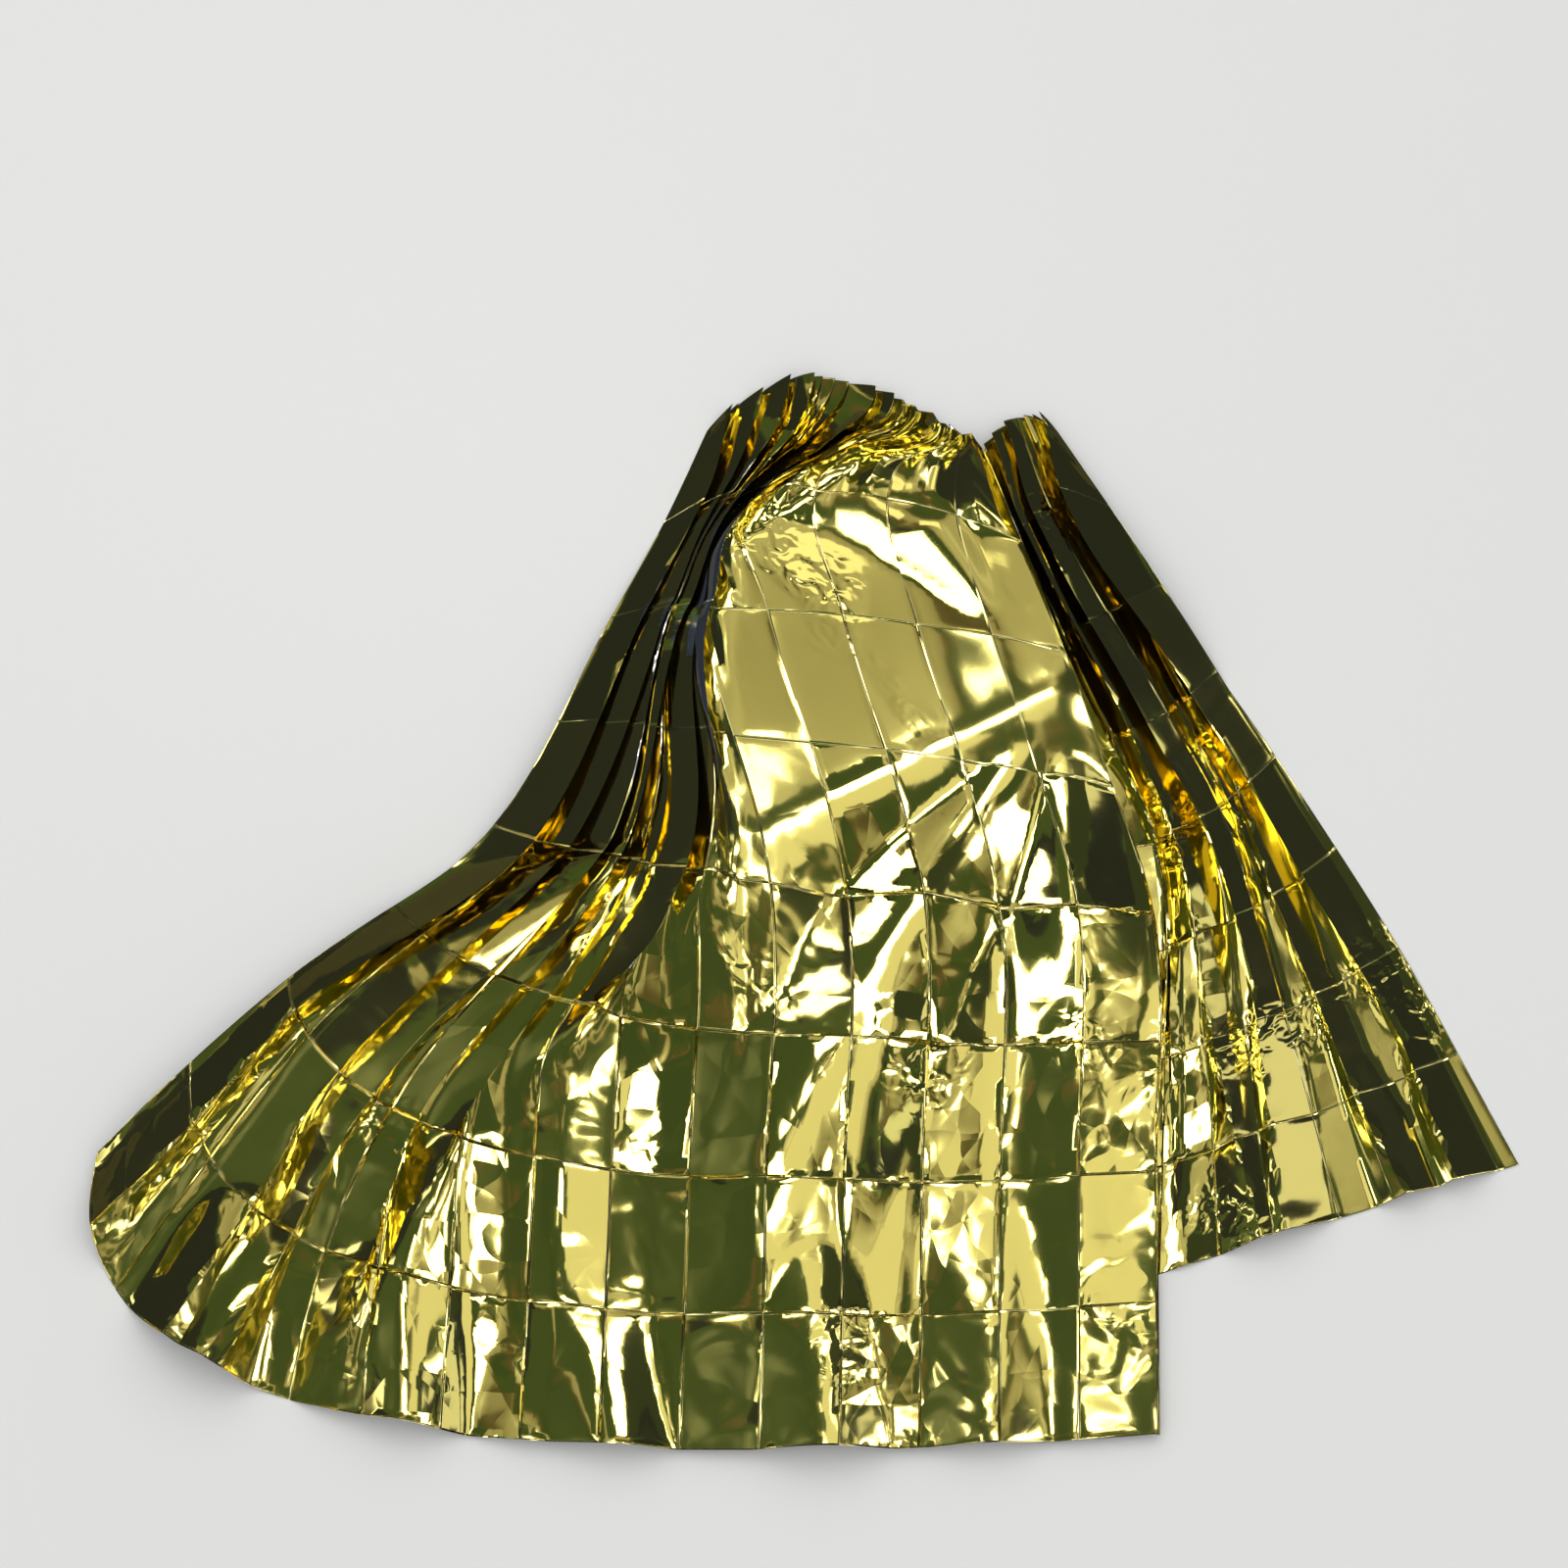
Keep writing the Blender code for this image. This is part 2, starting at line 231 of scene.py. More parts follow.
def smooth(t):
    """0 up to t = 0, 1 from t = 1, with a soft start and end."""
    t = np.clip(t, 0, 1)
    return t * t * (3 - 2 * t)


def row_on_floor(v):
    """ROWS_ON_FLOOR at v, as a dict of places in metres, along a smooth curve through the table."""
    knots = np.array([row[0] for row in ROWS_ON_FLOOR]) * CELL_DROP
    places = np.array([np.append(np.ravel(row[1:-2]) * MM, row[-2:]) for row in ROWS_ON_FLOOR])
    slopes = np.gradient(places, knots, axis=0)
    i = int(np.clip(np.searchsorted(knots, v) - 1, 0, len(knots) - 2))
    span = knots[i + 1] - knots[i]
    t = (v - knots[i]) / span
    values = places[i] + (places[i + 1] - places[i]) * smooth(t)
    values += span * (slopes[i] * t * (1 - t) ** 2 - slopes[i + 1] * t * t * (1 - t))
    row = dict(zip(ROW_FIELDS[1:-2], values[:-2].reshape(-1, 2)))
    row.update(zip(ROW_FIELDS[-2:], values[-2:]))
    return row


def bow(start, bend, end):
    """(the length of a bow, its places at even steps, the share of the length used up at each)."""
    t = np.linspace(0, 1, BOW_STEPS + 1)[:, None]
    places = start * (1 - t) ** 2 + bend * 2 * t * (1 - t) + end * t * t
    steps = np.hypot(*np.diff(places, axis=0).T)
    used = np.concatenate([[0], np.cumsum(steps)])
    return used[-1], places, used / used[-1]


def overlap(v):
    """How far the tuck's upper layer lies over the lower one."""
    return TUCK_OVERLAP_HEM + (TUCK_OVERLAP_COLLAR - TUCK_OVERLAP_HEM) * v / DROP


def hidden_length(v):
    """How much of the film the tuck folds away."""
    return 2 * TUCK_TURN + 2 * overlap(v)


def tuck_shift(past, v):
    """(how far a place past the tuck's upper fold lies along the row from that fold, its height)."""
    back = overlap(v)
    climb = 4 * TUCK_RADIUS
    first = np.clip(past / TUCK_TURN, 0, 1) * np.pi
    second = np.clip((past - TUCK_TURN - back) / TUCK_TURN, 0, 1) * np.pi
    run = TUCK_RADIUS * (np.sin(first) - np.sin(second))
    returned = np.clip(past - TUCK_TURN, 0, back)
    beyond = np.clip(past - 2 * TUCK_TURN - back, 0, back)
    ramp = climb * smooth(1 + (past + back + TUCK_RADIUS) / TUCK_RAMP)
    lift = np.where(past < 0, ramp, climb - TUCK_RADIUS * (2 - np.cos(first) - np.cos(second)))
    return run - returned + beyond, lift


def left_film(length, panel_start, panel_spread):
    """(marks across the film left of the tuck, the share of the bow used up at each, its spread there)."""
    fold = TUCK_COLUMN * CELL_WIDTH
    columns = np.linspace(0, TUCK_COLUMN, 4 * TUCK_COLUMN + 1)
    panel = smooth((columns - panel_start) / PANEL_FADE + 0.5)
    inside = panel.mean()
    rest = (length / fold - panel_spread * inside) / (1 - inside)
    spread = rest + (panel_spread - rest) * panel
    used = np.concatenate([[0], np.cumsum(spread[1:] + spread[:-1])])
    return columns * CELL_WIDTH, used / used[-1], spread


def lie(u, v):
    """(the places of one row on the floor, the film's spread there: 1 is not gathered at all)."""
    row = row_on_floor(v)
    fold = TUCK_COLUMN * CELL_WIDTH
    right_start = fold + hidden_length(v)
    left_length, left_places, left_used = bow(row["left"], row["left_bend"], row["tuck"])
    right_length, right_places, right_used = bow(row["from_tuck"], row["right_bend"], row["right"])
    marks, shares, spreads = left_film(left_length, row["panel_start"], row["panel_spread"])
    left_share = np.interp(u, marks, shares)
    right_share = np.clip((u - right_start) / (WIDTH - right_start), 0, 1)
    left = np.stack([np.interp(left_share, left_used, axis) for axis in left_places.T], axis=1)
    right = np.stack([np.interp(right_share, right_used, axis) for axis in right_places.T], axis=1)
    toward = row["tuck"] - row["left_bend"]
    toward = toward / np.hypot(*toward)
    progress = smooth((u - fold) / hidden_length(v))[:, None]
    hidden = row["tuck"] + (row["from_tuck"] - row["tuck"]) * progress
    hidden = hidden + tuck_shift(u - fold, v)[0][:, None] * toward
    places = np.where((u <= fold)[:, None], left, np.where((u < right_start)[:, None], hidden, right))
    spread = np.where(u <= fold, np.interp(u, marks, spreads), right_length / (WIDTH - right_start))
    return places, np.clip(spread, 0, 1)


def lean_at(u):
    """How far the pleats lean there."""
    return np.interp(u, np.array(LEAN_COLUMNS) * CELL_WIDTH, LEAN)


def pleat_height(u, v, spread):
    """The height of the pleats: a pleat's sides are as steep as the film's spread there asks for."""
    fold = TUCK_COLUMN * CELL_WIDTH
    from_floor = np.abs(u - fold)
    from_floor = np.minimum(from_floor, np.abs(u - fold - hidden_length(v)))
    for line in VALLEYS:
        valley = dict(zip(VALLEY_FIELDS, line))
        fading = np.clip(valley["first_row"] * CELL_DROP - v, 0, None) * VALLEY_CLIMB
        stray = valley["wander"] * MM * np.sin(STRAY_WAVE * v + STRAY_PHASE * valley["column"])
        away = np.abs(u - valley["column"] * CELL_WIDTH - stray)
        from_floor = np.minimum(from_floor, away + fading + valley["shallow"] * MM)
    floor = FLAT_FLOOR_HEM + (FLAT_FLOOR_COLLAR - FLAT_FLOOR_HEM) * v / DROP
    growth = smooth(UPRIGHT_GROWTH * v / DROP)
    upright = UPRIGHT_SHARE_HEM + (UPRIGHT_SHARE_COLLAR - UPRIGHT_SHARE_HEM) * growth
    laid = LAID_SHARE_CLOSE + LAID_SHARE_SPREAD * spread**LAID_POWER
    share = upright + (laid - upright) * np.abs(lean_at(u)) / FULL_LEAN
    share = share * (1 - COLLAR_EASE * smooth((v - DROP) / COLLAR_EASE_DROP + 1))
    stretched = 1 - smooth((1 - spread) / STRETCH_OVER)
    share = share * (1 - stretched * smooth((v - STRETCH_FROM) / STRETCH_DROP))
    return share * np.sqrt(1 - spread**2) * np.clip(from_floor - floor, 0, None)


def fold_height(x, y):
    """How far the slanting folds lift the film: soft ridges along their lines, and the highest counts."""
    height = np.zeros_like(x)
    for line in FOLDS:
        fold = dict(zip(FOLD_FIELDS, line))
        start_x, start_y = fold["x_a"] * MM, fold["y_a"] * MM
        run_x, run_y = fold["x_b"] * MM - start_x, fold["y_b"] * MM - start_y
        along = np.clip(((x - start_x) * run_x + (y - start_y) * run_y) / (run_x**2 + run_y**2), 0, 1)
        away = np.hypot(x - start_x - along * run_x, y - start_y - along * run_y)
        rise = (fold["rise_a"] + along * (fold["rise_b"] - fold["rise_a"])) * MM
        off_line = ((y - start_y) * run_x - (x - start_x) * run_y) / np.hypot(run_x, run_y)
        leftness = smooth(0.5 + 0.5 * off_line / (away + 1e-6))
        reach = (fold["right"] + leftness * (fold["left"] - fold["right"])) * MM
        near = np.clip(1 - (np.hypot(away, RIDGE_ROUND) - RIDGE_ROUND) / reach, 0, None)
        ridge = RIDGE_STRAIGHT * near + (1 - RIDGE_STRAIGHT) * smooth(near)
        height = np.maximum(height, rise * ridge)
    return height


def corner_lifts():
    """The lift of each cell corner: none at some of them, nor beside the creases that rest."""
    draw = np.random.RandomState(CORNER_SEED).rand(COLUMNS + 1, ROWS + 1)
    lifts = CORNER_LIFT * np.clip((draw - CORNER_ON_FLOOR) / (1 - CORNER_ON_FLOOR), 0, 1)
    for line in RESTING:
        crease = dict(zip(RESTING_FIELDS, line))
        lifts[crease["column"] - 1 : crease["column"] + 2, crease["row"] : crease["row"] + 2] = 0
    return lifts


def cell_height(u, v):
    """The lift of the creased cells: twisted panels between their corners, each with its own bulge."""
    lifts = corner_lifts()
    column = np.clip((u / CELL_WIDTH).astype(int), 0, COLUMNS - 1)
    row = np.clip((v / CELL_DROP).astype(int), 0, ROWS - 1)
    across = u / CELL_WIDTH - column
    up = v / CELL_DROP - row
    here, right = lifts[column, row], lifts[column + 1, row]
    above, opposite = lifts[column, row + 1], lifts[column + 1, row + 1]
    near = here * (1 - across) + right * across
    far = above * (1 - across) + opposite * across
    twist = here - right - above + opposite
    from_column = np.minimum(across, 1 - across) * CELL_WIDTH
    from_row = np.minimum(up, 1 - up) * CELL_DROP
    inside = np.clip(np.minimum(from_column, from_row) / CREASE_HALF, 0, 1)
    flatten = FLATNESS * twist * (across - 0.5) * (up - 0.5) * inside
    bulges = np.random.RandomState(CELL_SEED).uniform(*PILLOW_SHARES, (COLUMNS, ROWS))
    parity = np.where((column + row) % 2 == 0, 1.0, -PILLOW_DOWN)
    bulge = PILLOW * bulges[column, row] * parity * np.sin(np.pi * across) * np.sin(np.pi * up)
    return near * (1 - up) + far * up - flatten + bulge


def crease_height(u, v):
    """The packing creases: thin ridges and grooves, sharper in some cells than in others."""
    draw = np.random.RandomState(CREASE_SEED)
    sharp_columns = draw.uniform(-1, 1, (COLUMNS + 1, ROWS))
    sharp_rows = draw.uniform(-1, 1, (COLUMNS, ROWS + 1))
    column = np.round(u / CELL_WIDTH).astype(int)
    row = np.round(v / CELL_DROP).astype(int)
    cell_column = np.clip((u / CELL_WIDTH).astype(int), 0, COLUMNS - 1)
    cell_row = np.clip((v / CELL_DROP).astype(int), 0, ROWS - 1)
    from_column = np.abs(u - column * CELL_WIDTH)
    from_row = np.abs(v - row * CELL_DROP)
    end = smooth(from_row / CREASE_END) * (1 - CREASE_END_SHARE) + CREASE_END_SHARE
    line = sharp_columns[column, cell_row] * end * np.exp(-from_column / CREASE_HALF)
    crossing = smooth(from_column / CROSSING_END)
    cross = sharp_rows[cell_column, row] * crossing * np.exp(-from_row / CREASE_HALF)
    return CREASE_HEIGHT * (line + cross)


def kink_height(u, v):
    """Small kinks in the cells: short straight ridges and troughs, many from a corner of their cell."""
    draw = np.random.RandomState(KINK_SEED)
    height = np.zeros_like(u)
    for column in range(COLUMNS):
        for row in range(ROWS):
            left, near = column * CELL_WIDTH, row * CELL_DROP
            own = (u > left) & (u < left + CELL_WIDTH) & (v > near) & (v < near + CELL_DROP)
            pu, pv = u[own] - left, v[own] - near
            edge = np.minimum(np.minimum(pu, CELL_WIDTH - pu), np.minimum(pv, CELL_DROP - pv))
            for _ in range(int(MOST_KINKS * draw.rand() ** 2)):
                start = draw.randint(0, 2, 2) if draw.rand() < KINK_AT_CORNER else draw.rand(2)
                end = draw.rand(2)
                rise = KINK_RISE * draw.uniform(*KINK_RISES)
                reach = KINK_REACH * draw.uniform(*KINK_REACHES)
                start_u, start_v = start[0] * CELL_WIDTH, start[1] * CELL_DROP
                run_u, run_v = end[0] * CELL_WIDTH - start_u, end[1] * CELL_DROP - start_v
                along = ((pu - start_u) * run_u + (pv - start_v) * run_v) / (run_u**2 + run_v**2 + 1e-9)
                along = np.clip(along, 0, 1)
                away = np.hypot(pu - start_u - along * run_u, pv - start_v - along * run_v)
                narrow = reach * (KINK_TIP - along)
                ridge = np.clip(1 - np.hypot(away, KINK_ROUND) / narrow, 0, None)
                height[own] += rise * (1 - KINK_FADE * along) * ridge * smooth(edge / KINK_EDGE)
    return height


def relief_left(u, v):
    """How much of the small relief there is: less where the film is drawn tight."""
    collar = smooth((v - CALM_FROM) / CALM_OVER)
    right = smooth((u - CALM_RIGHT_FROM) / CALM_RIGHT_OVER)
    return 1 - CALM_SHARE * np.maximum(collar, right)


def mesh_lines():
    """(u of each line of the mesh but for the tuck's, v of each row). They crowd at the creases."""
    def spread(cells, size, inner):
        inside = np.linspace(CREASE_HALF, size - CREASE_HALF, inner)
        marks = [i * size + np.concatenate([[0], inside]) for i in range(cells)]
        return np.concatenate([*marks, [cells * size]])

    return spread(COLUMNS, CELL_WIDTH, LINES_ACROSS - 1), spread(ROWS, CELL_DROP, LINES_DOWN - 1)


def film_grid():
    """(flat u, flat v, places) of the whole film: three arrays with a row for each row of the mesh."""
    lines, rows = mesh_lines()
    tuck = TUCK_COLUMN * CELL_WIDTH
    turn = np.arange(TURN_STEPS + 1) * TUCK_TURN / TURN_STEPS
    us, floors, spreads, lifts = [], [], [], []
    for v in rows:
        bends = np.concatenate([tuck + turn[1:], tuck + TUCK_TURN + overlap(v) + turn])
        u = np.sort(np.concatenate([lines, bends]))
        places, spread = lie(u, v)
        us.append(u)
        floors.append(places)
        spreads.append(spread)
        lifts.append(tuck_shift(u - tuck, v)[1])
    u, floor, spread, lift = (np.array(rows_of) for rows_of in (us, floors, spreads, lifts))
    v = np.repeat(rows[:, None], u.shape[1], axis=1)
    past = u - tuck
    quiet = np.where(past <= 0, 1.0, smooth((past - hidden_length(v) - QUIET_MARGIN) / QUIET_FADE))
    pleats = pleat_height(u, v, spread) * quiet
    direction = np.gradient(floor, axis=1)
    direction /= np.linalg.norm(direction, axis=2)[..., None] + 1e-9
    lean = lean_at(u) * pleats * (1 - spread)
    leaned = floor + direction * lean[..., None]
    folds = pleats + fold_height(leaned[..., 0], leaned[..., 1]) * quiet
    small = cell_height(u, v) + crease_height(u, v) + kink_height(u, v)
    small = small * quiet * spread * relief_left(u, v)
    height = np.maximum(folds + small, 0) + lift
    places = np.concatenate([leaned, height[..., None]], axis=2)
    return u, v, places


def on_cad_box(places):
    """places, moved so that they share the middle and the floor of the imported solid's box."""
    low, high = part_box("blanket")
    middle = (np.array(low) + np.array(high)) / 2
    own = (places.reshape(-1, 3).min(axis=0) + places.reshape(-1, 3).max(axis=0)) / 2
    places[..., :2] += (middle - own)[:2]
    return places


# ---- The film's fine relief, a bump in the material: heights and lengths in metres ----
FLAT_UV = "film_metres"
# A noise is given by its scale, its detail and its distortion.
# Of each cell's two random values, the first says how crumpled it is and the second how folded.
SECOND_VALUE = (57.3, 11.9, 0)
CRUMPLED_FROM = (0.55, 1.0)
FOLDED_POWER = 3.0
# Each cell is tilted by its own slope, up to this one, but for a strip along its creases.
CELL_TILT = 0.10
TILT_EDGE = 0.002
# Soft dents and bent lines: the least height, and what a crumpled cell has more.
DENTS = (12.0, 1.0, 0.8)
DENT_HEIGHT = (0.0006, 0.006)
BENDS = (11.0, 0.5, 0.3)
BEND_HEIGHT = (0.0015, 0.006)
# Straight folds: three zigzags, bent by a noise, that each cell shifts along by its own way.
ZIGZAG_FIELDS = ("angle", "pitch")
ZIGZAGS = ((2.7, 0.031), (1.7, 0.053), (0.5, 0.037))
ZIGZAG_SHARE = (0.005, 0.035)
ZIGZAG_SHIFT = 9.0
WARP = (11.0, 1.0, 0.0)
WARP_REACH = 0.06
# Fine flakes in a few patches of the film.
FLAKES = (42.0, 1.0, 0.6)
FLAKE_HEIGHT = 0.0024
FLAKED = (5.0, 1.0, 0.0)
FLAKED_FROM = (0.58, 0.70)
# Where the film is drawn tight, this share of the dents, folds and tilts is gone.
CALM_BUMP = 0.9
# A painted highlight: the creases are painted paler from the second distance in to the first.
CREASE_HIGHLIGHT_BAND = (0.0024, 0.0004)
CREASE_HIGHLIGHT_SHARE = 0.35

# ---- The two sides of the film ----
GOLD_ROUGHNESS = 0.05
SILVER_ROUGHNESS = 0.09
ROUGHNESS_RANGE = 0.07
# The silver side's colour painted along the creases as a painted highlight.
SILVER_CREASE_HIGHLIGHT = (0.9, 0.9, 0.9)
SHARP_ANGLE = 32


class Nodes:
    """Adds nodes to a shader tree. An input takes another node's output, or a plain value."""

    def __init__(self, tree):
        self.tree = tree

    def feed(self, socket, value):
        """Wire the socket to another node's output, or set it to a plain value."""
        if isinstance(value, bpy.types.NodeSocket):
            self.tree.links.new(value, socket)
        else:
            socket.default_value = value

    def add(self, kind, inputs, **settings):
        """A new node of this kind, with its settings and its inputs."""
        node = self.tree.nodes.new("ShaderNode" + kind)
        for name, value in settings.items():
            setattr(node, name, value)
        for name, value in inputs.items():
            self.feed(node.inputs[name], value)
        return node

    def math(self, operation, *values):
        return self.add("Math", dict(enumerate(values)), operation=operation).outputs[0]

    def vector_math(self, operation, *values):
        return self.add("VectorMath", dict(enumerate(values)), operation=operation)

    def step(self, value, ends, interpolation="LINEAR"):
        """0 at the first end, 1 at the second."""
        inputs = {"Value": value, "From Min": ends[0], "From Max": ends[1]}
        return self.add("MapRange", inputs, interpolation_type=interpolation).outputs["Result"]

    def soft_step(self, value, ends):
        """The same with a soft start and end."""
        return self.step(value, ends, "SMOOTHSTEP")

    def noise(self, place, shape):
        scale, detail, distortion = shape
        inputs = {"Vector": place, "Scale": scale, "Detail": detail, "Distortion": distortion}
        return self.add("TexNoise", inputs)

    def mix_colours(self, factor, a, b):
        return self.add("Mix", {"Factor": factor, "A": a, "B": b}, data_type="RGBA").outputs["Result"]


def crinkle_group():
    """Node group: the film's fine relief as a height in metres, the mask of the painted highlight along
    creases, a cell's value.
    """
    group = bpy.data.node_groups.new("film_crinkle", "ShaderNodeTree")
    for name in ("Height", "Crease highlight", "Cell"):
        group.interface.new_socket(name, in_out="OUTPUT", socket_type="NodeSocketFloat")
    nodes = Nodes(group)
    math = nodes.math
    place = nodes.add("UVMap", {}, uv_map=FLAT_UV).outputs["UV"]
    split = nodes.add("SeparateXYZ", {"Vector": place})
    across = math("DIVIDE", split.outputs["X"], CELL_WIDTH)
    up = math("DIVIDE", split.outputs["Y"], CELL_DROP)
    corner = nodes.add("CombineXYZ", {"X": math("FLOOR", across), "Y": math("FLOOR", up)}).outputs["Vector"]
    other_corner = nodes.vector_math("ADD", corner, SECOND_VALUE).outputs["Vector"]
    cell = nodes.add("TexWhiteNoise", {"Vector": corner}, noise_dimensions="2D").outputs["Value"]
    cell_2 = nodes.add("TexWhiteNoise", {"Vector": other_corner}, noise_dimensions="2D").outputs["Value"]
    from_column = math("MULTIPLY", math("PINGPONG", across, 0.5), CELL_WIDTH)
    from_row = math("MULTIPLY", math("PINGPONG", up, 0.5), CELL_DROP)
    nearest = math("MINIMUM", from_column, from_row)

    crumpled = nodes.soft_step(cell, CRUMPLED_FROM)
    dent_height = math("MULTIPLY_ADD", crumpled, DENT_HEIGHT[1], DENT_HEIGHT[0])
    dents = math("MULTIPLY", nodes.noise(place, DENTS).outputs["Fac"], dent_height)
    bend_height = math("MULTIPLY_ADD", crumpled, BEND_HEIGHT[1], BEND_HEIGHT[0])
    bends = math("ABSOLUTE", math("SUBTRACT", nodes.noise(place, BENDS).outputs["Fac"], 0.5))
    bends = math("MULTIPLY", bends, bend_height)

    warp = nodes.noise(place, WARP).outputs["Color"]
    bent = nodes.vector_math("MULTIPLY_ADD", warp, (WARP_REACH, WARP_REACH, 0), place).outputs["Vector"]
    zigzags = 0.0
    for line in ZIGZAGS:
        zigzag = dict(zip(ZIGZAG_FIELDS, line))
        angle, pitch = zigzag["angle"], zigzag["pitch"]
        way = (np.cos(angle) / pitch, np.sin(angle) / pitch, 0)
        along = nodes.vector_math("DOT_PRODUCT", bent, way).outputs["Value"]
        shifted = math("MULTIPLY_ADD", cell, ZIGZAG_SHIFT, along)
        zigzags = math("MULTIPLY_ADD", math("PINGPONG", shifted, 1.0), pitch, zigzags)
    folded = math("POWER", cell_2, FOLDED_POWER)
    zigzags = math("MULTIPLY", zigzags, math("MULTIPLY_ADD", folded, ZIGZAG_SHARE[1], ZIGZAG_SHARE[0]))

    tilt_across = math("MULTIPLY", math("SUBTRACT", cell, 0.5), 2 * CELL_TILT * CELL_WIDTH)
    tilt_up = math("MULTIPLY", math("SUBTRACT", cell_2, 0.5), 2 * CELL_TILT * CELL_DROP)
    tilt = math("MULTIPLY", math("SUBTRACT", math("FRACT", across), 0.5), tilt_across)
    tilt = math("MULTIPLY_ADD", math("SUBTRACT", math("FRACT", up), 0.5), tilt_up, tilt)
    tilt = math("MULTIPLY", tilt, nodes.soft_step(nearest, (0.0, TILT_EDGE)))

    flaked = nodes.soft_step(nodes.noise(place, FLAKED).outputs["Fac"], FLAKED_FROM)
    flake_height = math("MULTIPLY", flaked, FLAKE_HEIGHT)
    flakes = math("MULTIPLY", nodes.noise(place, FLAKES).outputs["Fac"], flake_height)

    collar = nodes.soft_step(split.outputs["Y"], (CALM_FROM, CALM_FROM + CALM_OVER))
    right = nodes.soft_step(split.outputs["X"], (CALM_RIGHT_FROM, CALM_RIGHT_FROM + CALM_RIGHT_OVER))
    calm = math("MULTIPLY_ADD", math("MAXIMUM", collar, right), -CALM_BUMP, 1.0)
    height = math("ADD", math("ADD", dents, tilt), math("ADD", bends, zigzags))
    height = math("ADD", math("MULTIPLY", height, calm), flakes)
    end = group.nodes.new("NodeGroupOutput")
    nodes.feed(end.inputs["Height"], height)
    # The mask of the painted highlight: near the creases, where the colour is painted paler.
    nodes.feed(end.inputs["Crease highlight"], nodes.step(nearest, CREASE_HIGHLIGHT_BAND))
    nodes.feed(end.inputs["Cell"], cell)
    return group


def film_material(name, colour, highlight_colour, group, roughness):
    """Bright metallised film: the colour, painted paler on the creases as a painted highlight, with the
    fine relief as a bump.
    """
    material = bpy.data.materials.new(name)
    material.use_nodes = True
    nodes = Nodes(material.node_tree)
    crinkle = nodes.add("Group", {}, node_tree=group)
    # Painted highlight: the colour is mixed paler along the creases.
    crease_highlight = nodes.math("MULTIPLY", crinkle.outputs["Crease highlight"], CREASE_HIGHLIGHT_SHARE)
    rough = {"Value": crinkle.outputs["Cell"], "To Min": roughness, "To Max": roughness + ROUGHNESS_RANGE}
    bump = nodes.add("Bump", {"Height": crinkle.outputs["Height"], "Strength": 1.0, "Distance": 1.0})
    shader = material.node_tree.nodes["Principled BSDF"]
    nodes.feed(shader.inputs["Metallic"], 1.0)
    nodes.feed(shader.inputs["Normal"], bump.outputs["Normal"])
    nodes.feed(shader.inputs["Base Color"], nodes.mix_colours(crease_highlight, (*colour, 1), (*highlight_colour, 1)))
    nodes.feed(shader.inputs["Roughness"], nodes.add("MapRange", rough).outputs["Result"])
    return material


class FoilBlanketSettings(bpy.types.PropertyGroup):
    gold: bpy.props.FloatVectorProperty(
        name="Gold", description="Colour of the outer side", subtype="COLOR", size=3,
        default=(0.79, 0.68, 0.20),
    )
    # Colour painted along the creases as a painted highlight.
    gold_crease_highlight: bpy.props.FloatVectorProperty(
        name="Gold crease highlight", description="Colour painted along the creases as a highlight", subtype="COLOR", size=3,
        default=(0.92, 0.86, 0.55),
    )
    silver: bpy.props.FloatVectorProperty(
        name="Silver", description="Colour of the reverse", subtype="COLOR", size=3,
        default=(0.80, 0.81, 0.80),
    )
    film: bpy.props.FloatProperty(
        name="Film", description="Thickness of the film as shown", unit="LENGTH", default=0.0003
    )
    floor: bpy.props.FloatVectorProperty(
        name="Floor", description="Colour of the floor", subtype="COLOR", size=3,
        default=(0.82, 0.82, 0.81),
    )


class FOIL_OT_blanket(bpy.types.Operator):
    """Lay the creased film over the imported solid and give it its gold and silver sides"""

    bl_idname = "foil.blanket"
    bl_label = "Lay the blanket"

    def execute(self, context):
        settings = context.scene.foil_blanket
        u, v, places = film_grid()
        places = on_cad_box(places)
        places[..., 2] += settings.film
        rows, lines = u.shape
        bpy.ops.mesh.primitive_grid_add(x_subdivisions=lines - 1, y_subdivisions=rows - 1, size=1)
        film = context.object
        film.name = "foil_film"
        mesh = film.data
        mesh.vertices.foreach_set("co", places.astype(np.float32).ravel())
        corner = np.empty(len(mesh.loops), dtype=np.int32)
        mesh.loops.foreach_get("vertex_index", corner)
        while mesh.uv_layers:
            mesh.uv_layers.remove(mesh.uv_layers[0])
        flat = np.stack([u.ravel(), v.ravel()], axis=1).astype(np.float32)
        mesh.uv_layers.new(name=FLAT_UV).data.foreach_set("uv", flat[corner].ravel())
        mesh.update()
        mesh.shade_smooth()
        mesh.set_sharp_from_angle(angle=np.radians(SHARP_ANGLE))
        group = crinkle_group()
        gold = film_material("gold_side", settings.gold, settings.gold_crease_highlight, group, GOLD_ROUGHNESS)
        silver = film_material("silver_side", settings.silver, SILVER_CREASE_HIGHLIGHT, group, SILVER_ROUGHNESS)
        mesh.materials.append(gold)
        mesh.materials.append(silver)
        thick = film.modifiers.new("film", "SOLIDIFY")
        thick.thickness = settings.film
        thick.offset = -1.0
        thick.material_offset = 1
        thick.material_offset_rim = 0
        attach(film, "root")
        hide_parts("blanket")
        return {"FINISHED"}


# ---- The room that only the film's mirror image shows ----
# A direction has x to the right, y away from the camera and z up. A noise gives each direction a value.
# Zones raise or lower it, and few colour stops make its patches crisp. A zone goes from nothing at its
# first number to all at its second.
WORLD_SEED = 9.1
WORLD_PATCHES = 3.3
WORLD_MIDDLE = 0.490
WORLD_LOWEST = 0.44
# Far to both sides, away from the camera: dark.
WORLD_SIDES_X = (0.42, 0.54)
WORLD_SIDES_Y = (0.20, 0.34)
WORLD_SIDES_LOWER = 0.24
